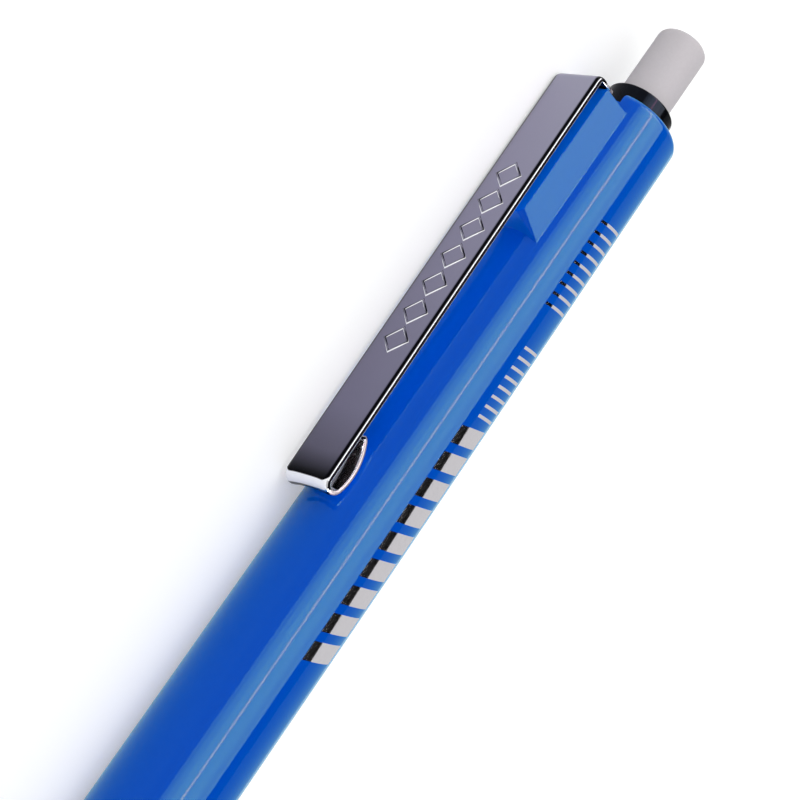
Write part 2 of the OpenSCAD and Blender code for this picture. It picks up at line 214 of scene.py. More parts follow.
barrel_front, barrel_back, _ = turned("barrel")
button_foot, button_top, button_flange_r = turned("knock_button")
eraser_foot, eraser_top, eraser_r = turned("eraser")
cone_nose, spigot_top, cone_r = turned("tip_cone")
block_end = barrel_back - BLOCK_SETBACK
flange_height = block_end + FACE_GAP / 2 + CLIP_T / 2
arm_start = flange_height - FOLD_R + CLIP_T / 2
arm_end = flange_height + CLIP_T / 2 - CLIP_LEN + TIP_BEND_R


def mix(a, b, share):
    """Value at a share of the way from a to b."""
    return a + (b - a) * share


def heading(angle):
    """Unit vector at an angle in degrees."""
    return Vector((cos(radians(angle)), sin(radians(angle))))


def arc(centre, radius, start, end, steps=ARC_STEPS):
    """Points of an arc about a centre, with angles in degrees."""
    return [Vector(centre) + radius * heading(mix(start, end, i / steps)) for i in range(steps + 1)]


def add_skin(mesh, rings, joined_ends=False):
    """Faces between rings of points, each to the next. The ends are joined to each other or capped."""
    loops = [[mesh.verts.new(point) for point in ring] for ring in rings]
    pairs = list(zip(loops, loops[1:]))
    if joined_ends:
        pairs.append((loops[-1], loops[0]))
    else:
        mesh.faces.new(reversed(loops[0]))
        mesh.faces.new(loops[-1])
    for lower, upper in pairs:
        for i in range(len(lower)):
            after = (i + 1) % len(lower)
            mesh.faces.new((lower[i], lower[after], upper[after], upper[i]))


def make_piece(name, skins, joined_ends=False):
    """Closed, smooth object in the frame from one or more skins that are drawn upright."""
    mesh = bmesh.new()
    for rings in skins:
        add_skin(mesh, rings, joined_ends)
    bmesh.ops.remove_doubles(mesh, verts=mesh.verts, dist=MERGE_DISTANCE)
    bmesh.ops.dissolve_degenerate(mesh, edges=mesh.edges, dist=SHORTEST_EDGE)
    bmesh.ops.recalc_face_normals(mesh, faces=mesh.faces)
    data = bpy.data.meshes.new(name)
    mesh.to_mesh(data)
    mesh.free()
    data.transform(LAID)
    data.shade_smooth()
    piece = bpy.data.objects.new(name, data)
    bpy.context.scene.collection.objects.link(piece)
    return piece


def cut_out(piece, cutter):
    """Cuts the cutter out of a piece for good, after the piece's edges are rounded, and removes it."""
    cut = piece.modifiers.new("cut", "BOOLEAN")
    cut.object = cutter
    cut.solver = "EXACT"
    evaluated = piece.evaluated_get(bpy.context.evaluated_depsgraph_get())
    data = bpy.data.meshes.new_from_object(evaluated)
    data.set_sharp_from_angle(angle=radians(SHARP_ANGLE))
    piece.modifiers.clear()
    piece.data = data
    bpy.data.objects.remove(cutter)


def soften(piece, width, cutters=()):
    """Rounds the piece's edges by a width in millimetres, makes its cuts and keeps its flat faces flat."""
    bevel = piece.modifiers.new("edges", "BEVEL")
    bevel.width = width * MM
    bevel.segments = BEVEL_STEPS
    bevel.limit_method = "ANGLE"
    bevel.angle_limit = radians(BEVEL_ANGLE)
    for cutter in cutters:
        cut_out(piece, cutter)
    normals = piece.modifiers.new("normals", "WEIGHTED_NORMAL")
    normals.keep_sharp = True


def dress(piece, body, slot, material, *nodes):
    """Gives a new piece its body, its finish and the nodes that it stands for."""
    piece.data.materials.append(material)
    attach(piece, body)
    if nodes:
        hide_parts(*nodes)


def circle(radius, height):
    """Ring of points of a turned piece."""
    angles = [tau * i / COLUMNS for i in range(COLUMNS)]
    return [Vector((radius * cos(a), radius * sin(a), height)) for a in angles]


def lathe(profile):
    """Rings of a turned piece from its profile of (radius, height) points."""
    return [circle(radius, height) for radius, height in profile]


# Barrel

def barrel_radius(height):
    """Outside radius of the barrel above its straight stretch, where it has a little draft."""
    start = barrel_front + TAPER_LEN + STRAIGHT_LEN
    return mix(BARREL_R, BARREL_BACK_R, (height - start) / (barrel_back - BACK_ROUND - start))


def barrel_rings():
    """Rings of the barrel. Columns within the block's width rise from the barrel to the block's roof."""
    roof_foot = block_end - BLOCK_LEN
    ramp_foot = roof_foot - BLOCK_RAMP
    ramp_top = roof_foot - RAMP_CORNER_DOWN
    foot_r = barrel_radius(ramp_foot)
    shares = [mix(-1, 1, i / BLOCK_COLUMNS) for i in range(BLOCK_COLUMNS + 1)]
    block_angles = [asin(BLOCK_FOOT_HALF_W * share / foot_r) for share in shares]
    foot_angle = block_angles[-1]
    outer_angles = [mix(foot_angle, tau - foot_angle, i / COLUMNS) for i in range(COLUMNS + 1)]
    foot_x = foot_r * cos(foot_angle)

    def ring(radius, height):
        return [Vector((radius * cos(a), radius * sin(a), height)) for a in block_angles + outer_angles]

    def block_ring(height, half_w, around):
        roof = [Vector((BLOCK_ROOF, half_w * share, height)) for share in shares]
        return roof + around[len(shares):]

    foot_ring = ring(foot_r, ramp_foot)
    ramp_ring = list(foot_ring)
    for i, point in enumerate(foot_ring[:len(shares)]):
        climb = (point.x - foot_x) / (BLOCK_ROOF - foot_x)
        ramp_ring[i] = Vector((point.x, point.y, mix(ramp_foot, ramp_top, climb)))
    end_ring = ring(barrel_radius(block_end), block_end)
    taper_top = barrel_front + TAPER_LEN
    back = arc((BARREL_BACK_R - BACK_ROUND, barrel_back - BACK_ROUND), BACK_ROUND, 0, 90)
    hole_foot = barrel_back - BUTTON_HOLE_LEN
    return [
        ring(BARREL_FRONT_R, barrel_front),
        ring(BARREL_R, taper_top),
        ring(BARREL_R, taper_top + STRAIGHT_LEN),
        ramp_ring,
        block_ring(ramp_top, BLOCK_ROOF_HALF_W - RAMP_CORNER_IN, foot_ring),
        block_ring(roof_foot, BLOCK_ROOF_HALF_W, foot_ring),
        block_ring(block_end, BLOCK_ROOF_HALF_W, end_ring),
        end_ring,
        *[ring(point.x, point.y) for point in back],
        ring(BUTTON_HOLE_R, barrel_back),
        ring(BUTTON_HOLE_R, hole_foot),
        ring(BORE_R, hole_foot),
        ring(BORE_R, spigot_top),
        ring(SPIGOT_HOLE_R, spigot_top),
        ring(SPIGOT_HOLE_R, barrel_front),
    ]


def across(outline, width):
    """Rings of a prism from its side view in (height above the axis, height along the pencil)."""
    return [[Vector((x, y, z)) for x, z in outline] for y in (-width / 2, width / 2)]


def slot_cutter():
    """Shape of the slot for the clip's tongue, flared so that the tongue can tilt."""
    floor = TONGUE_RISE - CLIP_T / 2 - FACE_GAP
    roof = TONGUE_RISE + CLIP_T / 2 + FACE_GAP
    depth = TONGUE_LEN + FACE_GAP
    outline = [
        (floor, block_end + CLIP_T),
        (roof, block_end + CLIP_T),
        (roof, block_end),
        (roof + depth * tan(radians(CLIP_OPEN)), block_end - depth),
        (floor, block_end - depth),
    ]
    return make_piece("slot_cutter", [across(outline, TONGUE_W + 2 * FACE_GAP)])


def notch_cutter():
    """Shape of the notch through the barrel's rim, with rounded upper corners."""
    half = NOTCH_W / 2
    foot = barrel_back - NOTCH_LEN
    corner = arc((half + NOTCH_ROUND, barrel_back - NOTCH_ROUND), NOTCH_ROUND, 180, 90)
    right = [(half, foot), *corner, (half + NOTCH_ROUND, barrel_back + NOTCH_LEN)]
    outline = right + [(-y, z) for y, z in reversed(right)]
    rings = [[Vector((x, y, z)) for y, z in outline] for x in (0, BARREL_R + NOTCH_LEN)]
    return make_piece("notch_cutter", [rings])


def make_barrel(material):
    """Barrel with its block, the slot for the clip's tongue and the notch in its rim."""
    barrel = make_piece("barrel_shell", [barrel_rings()], joined_ends=True)
    soften(barrel, MOULDED_EDGE, [slot_cutter(), notch_cutter()])
    dress(barrel, "body", "blue_plastic", material, "barrel")


# Clip

def arm_rise(height):
    """Height of the clip's middle line above the axis, at a height along its arm."""
    share = (arm_start - height) / (arm_start - arm_end)
    return mix(CLIP_TOP, CLIP_TIP, share) + 4 * CLIP_BOW * share * (1 - share) - CLIP_T / 2


def clip_stations():
    """Stations along the strip's middle line, from its tongue to its curl, as (spot, width, dish)."""
    bend_r = FOLD_R - CLIP_T / 2
    tip_r = TIP_BEND_R - CLIP_T / 2
    depth = CLIP_TIP - BARREL_R - CURL_GAP
    hook_cos = cos(radians(HOOK_TURN))
    hook_rise = depth - CLIP_T * (1 + hook_cos) - CURL_CLOSE
    entry = degrees(acos((CURL_R + TIP_BEND_R - depth) / (CURL_R - TIP_BEND_R)))
    leave = degrees(acos((CURL_R - HOOK_R * hook_cos - hook_rise) / (CURL_R - HOOK_R)))
    tip_bend = Vector((arm_rise(arm_end) - tip_r, arm_end))
    curl_centre = tip_bend - (CURL_R - TIP_BEND_R) * heading(-180 + entry)
    hook_centre = curl_centre + (CURL_R - HOOK_R) * heading(-180 - leave)
    tongue = [Vector((TONGUE_RISE, flange_height - TONGUE_LEN))]
    tongue += arc((TONGUE_RISE + bend_r, arm_start), bend_r, 180, 90)
    fold = arc((arm_rise(arm_start) - bend_r, arm_start), bend_r, 90, 0)
    heights = [mix(arm_start, arm_end, i / ARM_STEPS) for i in range(1, ARM_STEPS)]
    arm = [Vector((arm_rise(height), height)) for height in heights]
    tip = arc(tip_bend, tip_r, 0, -180 + entry)
    curl = arc(curl_centre, CURL_R - CLIP_T / 2, -180 + entry, -180 - leave)
    hook = arc(hook_centre, HOOK_R - CLIP_T / 2, -180 - leave, -180 - HOOK_TURN)
    stations = [(spot, TONGUE_W, 0.0) for spot in tongue]
    stations += [(spot, CLIP_W, 0.0) for spot in tongue[-1:] + fold + arm]
    stations += [(spot, CLIP_W, CURL_DISH * i / ARC_STEPS) for i, spot in enumerate(tip)]
    stations += [(spot, CLIP_W, CURL_DISH) for spot in curl[1:] + hook[1:]]
    return stations


def strip_section(width, inset):
    """Rounded rectangle across the strip, as (offset from the middle line, place across the width)."""
    points = []
    for start, side_t, side_w in ((0, 1, 1), (90, -1, 1), (180, -1, -1), (270, 1, -1)):
        round_t, round_w = CLIP_OUTER_EDGE if side_t > 0 else CLIP_INNER_EDGE
        for corner in arc((0, 0), 1, start, start + 90, EDGE_STEPS):
            offset = side_t * (CLIP_T / 2 - round_t) + corner.x * (round_t - inset)
            place = side_w * (width / 2 - round_w) + corner.y * (round_w - inset)
            points.append(Vector((offset, place)))
    section = []
    for a, b in zip(points, points[1:] + points[:1]):
        steps = WIDTH_STEPS if (b - a).length > CLIP_T else 1
        section += [a.lerp(b, i / steps) for i in range(steps)]
    return section


def clip_rings():
    """Rings along the clip's strip, narrower on the tongue, rounded at its ends, dished where it curls."""
    stations = clip_stations()
    last = len(stations) - 1
    rings = []

    def add_ring(i, inset=0.0, shift=0.0):
        spot, width, dish = stations[i]
        along = (stations[min(i + 1, last)][0] - stations[max(i - 1, 0)][0]).normalized()
        left = Vector((-along.y, along.x))
        ring = []
        for offset, place in strip_section(width, inset):
            sunk = offset + dish * (2 * place / width) ** 2
            point = spot + left * sunk + along * shift
            ring.append(Vector((point.x, place, point.y)))
        rings.append(ring)

    add_ring(0, inset=CLIP_END_EDGE)
    add_ring(0, shift=CLIP_END_EDGE)
    for i in range(1, last):
        add_ring(i)
    add_ring(last, shift=-CLIP_END_EDGE)
    add_ring(last, inset=CLIP_END_EDGE)
    return rings


def lozenge_ridge(middle):
    """Rings of one raised outline on the clip's face, a low rounded ridge round a lozenge."""
    corners = [(0, 1), (1, 0), (0, -1), (-1, 0)]
    places = [mix(-1, 1, i / RIDGE_STEPS) for i in range(RIDGE_STEPS + 1)]
    ridge = [(out, 2 * cos(out * pi / 2) - 1) for out in places]
    rings = []
    for side, end in corners:
        ring = []
        for out, rise in ridge:
            place = side * (LOZENGE_HALF_W + out * LOZENGE_LINE / 2)
            height = middle + end * (LOZENGE_LEN / 2 + out * LOZENGE_LINE / 2)
            face = arm_rise(height) + CLIP_T / 2
            ring.append(Vector((face + rise * LOZENGE_RISE, place, height)))
        rings.append(ring)
    return rings


def make_clip(material):
    """Chromed clip with a row of embossed lozenges on its arm."""
    clip = make_piece("clip_strip", [clip_rings()])
    dress(clip, "clip", "clip_chrome", material, "pocket_clip")
    middles = [LOZENGE_FIRST - LOZENGE_PITCH * i for i in range(LOZENGE_COUNT)]
    emboss = make_piece("clip_emboss", [lozenge_ridge(middle) for middle in middles], joined_ends=True)
    dress(emboss, "clip", "clip_chrome", material)


# Push button and eraser

def make_button(material):
    """Push button with its flange, the reservoir's socket, the filling hole and the eraser's socket."""
    socket_foot = button_top - SOCKET_LEN
    flange_top = button_foot + BUTTON_FLANGE_LEN
    rim = arc((BUTTON_R - BUTTON_RIM, button_top - BUTTON_RIM), BUTTON_RIM, 0, 90)
    profile = [
        (RESERVOIR_HOLE_R, button_foot),
        (button_flange_r, button_foot),
        (button_flange_r, flange_top),
        (BUTTON_R, flange_top),
        *rim,
        (SOCKET_R, button_top),
        (SOCKET_R, socket_foot),
        (FILLING_R, socket_foot),
        (FILLING_R, socket_foot - BUTTON_WEB),
        (RESERVOIR_HOLE_R, socket_foot - BUTTON_WEB),
    ]
    button = make_piece("push_button", [lathe(profile)], joined_ends=True)
    soften(button, MOULDED_EDGE / 2)
    dress(button, "knock", "black_plastic", material, "knock_button")


def make_eraser(material):
    """Eraser rod with a rounded, slightly uneven end."""
    rim = arc((eraser_r - ERASER_ROUND, eraser_top - ERASER_ROUND), ERASER_ROUND, 0, 90)
    heights = [mix(eraser_foot, eraser_top - ERASER_ROUND, i / ARM_STEPS) for i in range(ARM_STEPS)]
    sides = [(eraser_r, height) for height in heights]
    end = [(share * (eraser_r - ERASER_ROUND), eraser_top) for share in ERASER_END_SHARES]
    rings = lathe([(0, eraser_foot), *sides, *rim, *end])
    for ring in rings:
        for point in ring:
            depth = (noise.noise(point) + 1) / 2 * ERASER_UNEVEN
            if point.z > button_top:
                point -= Vector((point.x, point.y, point.z - eraser_foot)).normalized() * depth
    eraser = make_piece("eraser_rod", [rings])
    dress(eraser, "eraser", "eraser_rubber", material, "eraser")


# Tip

def make_cone(material):
    """Tip cone with its nose, a turned groove behind the slope, its spigot and the rooms inside."""
    rim_foot = barrel_front - CONE_RIM_LEN
    nose = arc((CONE_NOSE_R - CONE_EDGE, cone_nose + CONE_EDGE), CONE_EDGE, -90, 0)
    groove = arc((cone_r, rim_foot + CONE_RIM_LEN / 2), CONE_GROOVE, 270, 90)
    profile = [
        (SLEEVE_HOLE_R, cone_nose),
        *nose,
        (cone_r, rim_foot),
        *groove,
        (cone_r, barrel_front),
        (SPIGOT_R, barrel_front),
        (SPIGOT_R, spigot_top),
        (GUIDE_ROOM_R, spigot_top),
        (GUIDE_ROOM_R, GUIDE_ROOM),
        (CHUCK_ROOM_R, GUIDE_ROOM),
        (CHUCK_ROOM_R, CHUCK_ROOM),
        (RETAINER_HOLE_R, CHUCK_ROOM),
        (RETAINER_HOLE_R, SLEEVE_END),
        (SLEEVE_ROOT_HOLE_R, SLEEVE_END),
        (SLEEVE_ROOT_HOLE_R, cone_nose + FACE_GAP),
        (SLEEVE_HOLE_R, cone_nose + FACE_GAP),
    ]
    cone = make_piece("cone_shell", [lathe(profile)], joined_ends=True)
    soften(cone, MOULDED_EDGE / 2)
    dress(cone, "body", "tip_nickel", material, "tip_cone")


# Spring

def make_spring(material):
    """Coil spring over the imported spring's length, on a mesh of its own."""
    foot, top, _ = turned("return_spring")
    steps = SPRING_TURNS * TURN_STEPS
    rings = []
    for i in range(steps + 1):
        turn = tau * i / TURN_STEPS
        middle = mix(foot + SPRING_WIRE_R, top - SPRING_WIRE_R, i / steps)
        ring = []
        for k in range(WIRE_STEPS):
            around = tau * k / WIRE_STEPS
            radius = SPRING_R + SPRING_WIRE_R * cos(around)
            height = middle + SPRING_WIRE_R * sin(around)
            ring.append(Vector((radius * cos(turn), radius * sin(turn), height)))
        rings.append(ring)
    spring = make_piece("coil_spring", [rings])
    dress(spring, "body", "steel", material, "return_spring")
    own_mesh(spring)


# Foil ornament

def foil_strip(foot, top, start, end, lean):
    """Rings of a thin strip of foil on the barrel between two heights and two angles, leaning upwards."""
    rings = []
    for i in range(ARC_STEPS + 1):
        share = i / ARC_STEPS
        angle = radians(mix(start, end, share))
        ring = []
        for height, depth in ((foot, -1), (foot, 1), (top, 1), (top, -1)):
            z = height + lean * share
            radius = BARREL_R if z < barrel_front + TAPER_LEN + STRAIGHT_LEN else barrel_radius(z)
            radius += depth * FOIL_T
            ring.append(Vector((radius * cos(angle), radius * sin(angle), z)))
        rings.append(ring)
    return rings


def make_foil(material):
    """Rows of leaning bars, broad ones first and finer ones towards the eraser."""
    strips = []
    for row in FOIL_ROWS:
        for i in range(row["bars"]):
            foot = row["foot"] + row["pitch"] * i
            strips.append(foil_strip(foot, foot + row["width"], row["angle"], FOIL_END_ANGLE, row["lean"]))
    foil = make_piece("foil_ornament", strips)
    foil.data.set_sharp_from_angle(angle=radians(SHARP_ANGLE))
    dress(foil, "body", "clip_chrome", material)


# Finishes

GRAIN_DETAIL = 4.0

# Clip: painted reflection on its dark face, darker from the fold to the tip, the painted dark line where
# that ends, the cut edges
CLIP_FACE_PAINTED_REFLECTION = [
    (0.0, (0.29, 0.282, 0.365)),
    (1.0, (0.007, 0.007, 0.01)),
    (0.35, (0.236, 0.228, 0.312)),
    (0.85, (0.162, 0.155, 0.226)),
    (0.95, (0.105, 0.1, 0.145)),
]
CLIP_PAINTED_DARK_LINE = (0.002, 0.002, 0.003, 1)
CLIP_CUT = (0.2, 0.19, 0.195, 1)
CLIP_FACE_ROUGHNESS = 0.16
CLIP_CUT_ROUGHNESS = 0.5

# Where each band of the clip's painted reflection and shade, and its cut edges, starts and ends, as the
# share by which the surface faces a direction
CLIP_FACE_FACING = (0.968, 0.997)
CLIP_BACK_FACING = (-0.05, -0.2)
CLIP_LINE_TO_SIDE = 0.65
CLIP_LINE_TO_TIP = 0.45
CLIP_LINE_FADE = (0.92, 1.08)
CLIP_LOWER_LINE = (0.75, 0.79)
CLIP_FOLD_TO_BACK = (0.3, 0.5)
CLIP_UNDER_FACING = (0.2, 0.05)
CLIP_UNDER_TO_TIP = (0.8, 0.9)
CLIP_CUT_FACING = (0.4, 0.6)

# Height above the axis, in millimetres, at which the clip's arm parts from its tongue and its curl
CLIP_ARM_RISE = (6.2, 6.4)


def add_node(tree, kind, inputs, **settings):
    """Shader node with its settings. Each input is a value, or a link from another node's output."""
    node = tree.nodes.new("ShaderNode" + kind)
    for name, value in settings.items():
        setattr(node, name, value)
    for socket, value in inputs.items():
        if isinstance(value, bpy.types.NodeSocket):
            tree.links.new(value, node.inputs[socket])
        else:
            node.inputs[socket].default_value = value
    return node


def calculate(tree, operation, *values):
    """Result of a math node."""
    return add_node(tree, "Math", dict(enumerate(values)), operation=operation).outputs["Value"]


def between(tree, value, start, end, low=0.0, high=1.0):
    """Value between start and end as a share from low to high."""
    inputs = {"Value": value, "From Min": start, "From Max": end, "To Min": low, "To Max": high}
    return add_node(tree, "MapRange", inputs).outputs["Result"]


def tone_ramp(tree, share, tones):
    """Colour of a ramp with the given stops, the first and the last one ahead of those between."""
    ramp = add_node(tree, "ValToRGB", {"Fac": share})
    stops = ramp.color_ramp.elements
    for i, (spot, colour) in enumerate(tones):
        stop = stops[i] if i < 2 else stops.new(spot)
        stop.position = spot
        stop.color = (*colour, 1)
    return ramp.outputs["Color"]


def make_finish(name, dark, light, grain, gloss, bump, stretch=(1, 1, 1), **sockets):
    """Procedural finish: two near tones mixed by noise, uneven gloss and a fine bump.

    Grain is in millimetres, gloss is the range of the roughness, bump is in millimetres.
    """
    material = bpy.data.materials.new(name)
    material.use_nodes = True
    tree = material.node_tree
    shader = tree.nodes["Principled BSDF"]
    for socket, value in sockets.items():
        shader.inputs[socket.replace("_", " ")].default_value = value
    place = add_node(tree, "TexCoord", {}).outputs["Object"]
    scaled = add_node(tree, "Mapping", {"Vector": place, "Scale": [s / (grain * MM) for s in stretch]})
    noise_inputs = {"Vector": scaled.outputs["Vector"], "Scale": 1.0, "Detail": GRAIN_DETAIL}
    speckle = add_node(tree, "TexNoise", noise_inputs).outputs["Fac"]
    relief = add_node(tree, "Bump", {"Height": speckle, "Distance": bump * MM})
    tree.links.new(tone_ramp(tree, speckle, [(0.0, dark), (1.0, light)]), shader.inputs["Base Color"])
    tree.links.new(between(tree, speckle, 0.0, 1.0, *gloss), shader.inputs["Roughness"])
    tree.links.new(relief.outputs["Normal"], shader.inputs["Normal"])
    return material


def paint_clip_light_and_cut_edges(material):
    """Paints a dark reflection on the clip's face, a dark line where it bends away and shade under its tip;
    its cut edges are rough.
    """
    tree = material.node_tree
    shader = tree.nodes["Principled BSDF"]
    place = add_node(tree, "TexCoord", {})
    out, side, back = (axis.normalized() for axis in LAID.to_3x3().col)

    def along(vector, axis):
        inputs = {0: place.outputs[vector], 1: axis}
        return add_node(tree, "VectorMath", inputs, operation="DOT_PRODUCT").outputs["Value"]

    def blend(kind, share, first, second):
        inputs = {"Factor": share, "A": first, "B": second}
        return add_node(tree, "Mix", inputs, data_type=kind).outputs["Result"]

    def times(first, second):
        return calculate(tree, "MULTIPLY", first, second)

    def rest(share):
        return calculate(tree, "SUBTRACT", 1.0, share)

    facing = along("Normal", out)
    to_side = calculate(tree, "ABSOLUTE", along("Normal", side))
    to_tip = calculate(tree, "MAXIMUM", along("Normal", -back), 0.0)
    to_back = calculate(tree, "MAXIMUM", along("Normal", back), 0.0)
    over_fold = calculate(tree, "ADD", times(facing, facing), times(to_back, to_back))
    over_fold = calculate(tree, "SQRT", over_fold)
    is_arm = between(tree, times(along("Object", out), 1 / MM), *CLIP_ARM_RISE)
    is_upper = times(is_arm, rest(between(tree, facing, *CLIP_BACK_FACING)))
    # Painted reflection: the arm's outer face is coloured dark, standing in for a reflection of dark
    # surroundings.
    is_painted_face = times(is_upper, between(tree, over_fold, *CLIP_FACE_FACING))
    is_cut = times(rest(is_arm), between(tree, to_side, *CLIP_CUT_FACING))
    # Painted shade under the tip bend, on surfaces that face inwards and towards the tip.
    is_under_painted_shade = times(between(tree, facing, *CLIP_UNDER_FACING), between(tree, to_tip, *CLIP_UNDER_TO_TIP))

    # Painted reflection: past the face, where the surface turns away to the sides and the tip, low on the
    # arm's sides and on the fold's back, a painted dark line; bright chrome between.
    turned_to_side = times(to_side, 1 / CLIP_LINE_TO_SIDE)
    turned_to_tip = times(to_tip, 1 / CLIP_LINE_TO_TIP)
    turned_away = calculate(tree, "ADD", turned_to_side, turned_to_tip)
    is_bright = between(tree, turned_away, *CLIP_LINE_FADE)
    is_bright = times(is_bright, rest(between(tree, to_side, *CLIP_LOWER_LINE)))
    is_bright = times(is_bright, rest(between(tree, to_back, *CLIP_FOLD_TO_BACK)))
    is_bright = calculate(tree, "MAXIMUM", is_bright, rest(is_upper))
    is_bright = times(is_bright, rest(is_under_painted_shade))

    height = times(along("Object", back), 1 / MM)
    # Painted reflection on the face, darker from the fold to the tip; the painted dark line beside it.
    face = tone_ramp(tree, between(tree, height, arm_start, arm_end), CLIP_FACE_PAINTED_REFLECTION)
    dark = blend("RGBA", is_painted_face, CLIP_PAINTED_DARK_LINE, face)
    bright = blend("RGBA", is_cut, shader.inputs["Base Color"].links[0].from_socket, CLIP_CUT)
    tree.links.new(blend("RGBA", is_bright, dark, bright), shader.inputs["Base Color"])
    gloss = blend("FLOAT", is_painted_face, shader.inputs["Roughness"].links[0].from_socket, CLIP_FACE_ROUGHNESS)
    tree.links.new(blend("FLOAT", is_cut, gloss, CLIP_CUT_ROUGHNESS), shader.inputs["Roughness"])


blue_plastic = make_finish(
    "blue_plastic", dark=(0.0, 0.054, 0.515), light=(0.0, 0.06, 0.55),
    grain=0.6, gloss=(0.05, 0.09), bump=0.0006,
    IOR=1.3, Specular_Tint=(0.38, 1.0, 0.2, 1),
    Sheen_Weight=0.5, Sheen_Roughness=0.5, Sheen_Tint=(0.0, 0.83, 1.0, 1),
)
clip_chrome = make_finish(
    "clip_chrome", dark=(0.8, 0.8, 0.83), light=(0.86, 0.86, 0.89),
    grain=0.8, gloss=(0.05, 0.09), bump=0.0004, Metallic=1.0,
)
paint_clip_light_and_cut_edges(clip_chrome)
foil_silver = make_finish(
    "foil_silver", dark=(0.89, 0.865, 0.905), light=(0.97, 0.945, 0.985),
    grain=0.3, gloss=(0.06, 0.12), bump=0.0006, Metallic=1.0,
)
black_plastic = make_finish(
    "black_plastic", dark=(0.002, 0.002, 0.003), light=(0.004, 0.004, 0.006),
    grain=0.4, gloss=(0.08, 0.14), bump=0.0006,
    IOR=1.17, Specular_Tint=(0.5, 0.65, 1.0, 1),
)
eraser_rubber = make_finish(
    "eraser_rubber", dark=(0.53, 0.503, 0.526), light=(0.58, 0.55, 0.575),
    grain=0.25, gloss=(0.6, 0.75), bump=0.012, IOR=1.2,
)
nickel = make_finish(
    "nickel", dark=(0.5, 0.49, 0.475), light=(0.58, 0.57, 0.555),
    grain=0.15, gloss=(0.12, 0.22), bump=0.0004, stretch=(1, 0.05, 0.05), Metallic=1.0,
)
steel = make_finish(
    "steel", dark=(0.5, 0.5, 0.52), light=(0.58, 0.58, 0.6),
    grain=0.2, gloss=(0.15, 0.25), bump=0.0004, Metallic=1.0,
)
brass = make_finish(
    "brass", dark=(0.66, 0.45, 0.18), light=(0.75, 0.54, 0.24),
    grain=0.2, gloss=(0.18, 0.28), bump=0.0004, Metallic=1.0,
)
black_rubber = make_finish(
    "black_rubber", dark=(0.012, 0.012, 0.013), light=(0.02, 0.02, 0.021),
    grain=0.2, gloss=(0.6, 0.8), bump=0.006,
)
white_plastic = make_finish(
    "white_plastic", dark=(0.74, 0.76, 0.78), light=(0.8, 0.82, 0.84),
    grain=0.5, gloss=(0.3, 0.4), bump=0.002,
)
graphite = make_finish(
    "graphite", dark=(0.02, 0.02, 0.022), light=(0.04, 0.04, 0.043),
    grain=0.1, gloss=(0.35, 0.5), bump=0.001, Metallic=0.4,
)

make_barrel(blue_plastic)
make_clip(clip_chrome)
make_button(black_plastic)
make_eraser(eraser_rubber)
make_cone(nickel)
make_spring(steel)
make_foil(foil_silver)

KEPT_NODES = {
    "lead_sleeve": steel,
    "lead_retainer": black_rubber,
    "chuck": brass,
    "chuck_ring": brass,
    "chuck_sleeve": black_plastic,
    "reservoir_coupler": white_plastic,
    "lead_reservoir": white_plastic,
    "writing_lead": graphite,
    "spare_lead_1": graphite,
    "spare_lead_2": graphite,
    "spare_lead_3": graphite,
}
for node, material in KEPT_NODES.items():
    frame["nodes"][node].data.materials.clear()
    frame["nodes"][node].data.materials.append(material)


# Studio

# Pale table and an even room, in metres and shares of white
FLOOR_SIZE = 4.0
FLOOR_COLOUR = (0.75, 0.76, 0.76, 1)
FLOOR_ROUGHNESS = 0.9
FLOOR_GLOSS = 0.1
FLOOR_LIFT = 0.4
AMBIENT = 0.75

# Panels along the pencil, in metres, between two elevations in degrees: 0 is level and 90 is overhead
PANEL_LENGTH = 2.0
PANEL_PLACE = -1.05
PANEL_DISTANCE = 0.6
PANEL_SPACING = 0.01
LAMP_POWER = 4.0
WHITE = (1, 1, 1)
BLACK = (0, 0, 0)
PINK = (1.0, 0.25, 0.36)
FRONT_LIGHT = {"start": 10, "end": 80, "radiance": 0.5}
STRIP_LIGHTS = [
    {"name": "strip_edge", "start": 29, "end": 101, "radiance": 2.8, "colour": WHITE},
    {"name": "strip_middle", "start": 37, "end": 101, "radiance": 1.9, "colour": WHITE},
    {"name": "strip_core", "start": 47, "end": 86, "radiance": 2.0, "colour": WHITE},
    {"name": "strip_line", "start": 60.2, "end": 63.4, "radiance": 23.0, "colour": PINK},
]
CARDS = [
    {"name": "black_card", "start": 101.5, "end": 121.5, "radiance": 0.0},
    {"name": "grey_card", "start": 122, "end": 184, "radiance": 0.6},
]


def seen_by_eye(tree):
    """Socket that is 1 for rays from the camera, from gloss and through glass, and 0 for others."""
    path = add_node(tree, "LightPath", {}).outputs
    either = calculate(tree, "MAXIMUM", path["Is Camera Ray"], path["Is Glossy Ray"])
    return calculate(tree, "MAXIMUM", either, path["Is Transmission Ray"])


def make_floor():
    """Pale table that keeps the pencil's shadow."""
    material = bpy.data.materials.new("floor")
    material.use_nodes = True
    tree = material.node_tree
    shader = tree.nodes["Principled BSDF"].inputs
    shader["Base Color"].default_value = FLOOR_COLOUR
    shader["Roughness"].default_value = FLOOR_ROUGHNESS
    shader["Specular IOR Level"].default_value = FLOOR_GLOSS
    shader["Emission Color"].default_value = (*WHITE, 1)
    tree.links.new(calculate(tree, "MULTIPLY", seen_by_eye(tree), FLOOR_LIFT), shader["Emission Strength"])
    mesh = bmesh.new()
    bmesh.ops.create_grid(mesh, x_segments=1, y_segments=1, size=FLOOR_SIZE / 2)
    data = bpy.data.meshes.new("floor")
    mesh.to_mesh(data)
    mesh.free()
    data.materials.append(material)
    floor = bpy.data.objects.new("floor", data)
    floor.location.z = cad_box[0].z
    bpy.context.scene.collection.objects.link(floor)


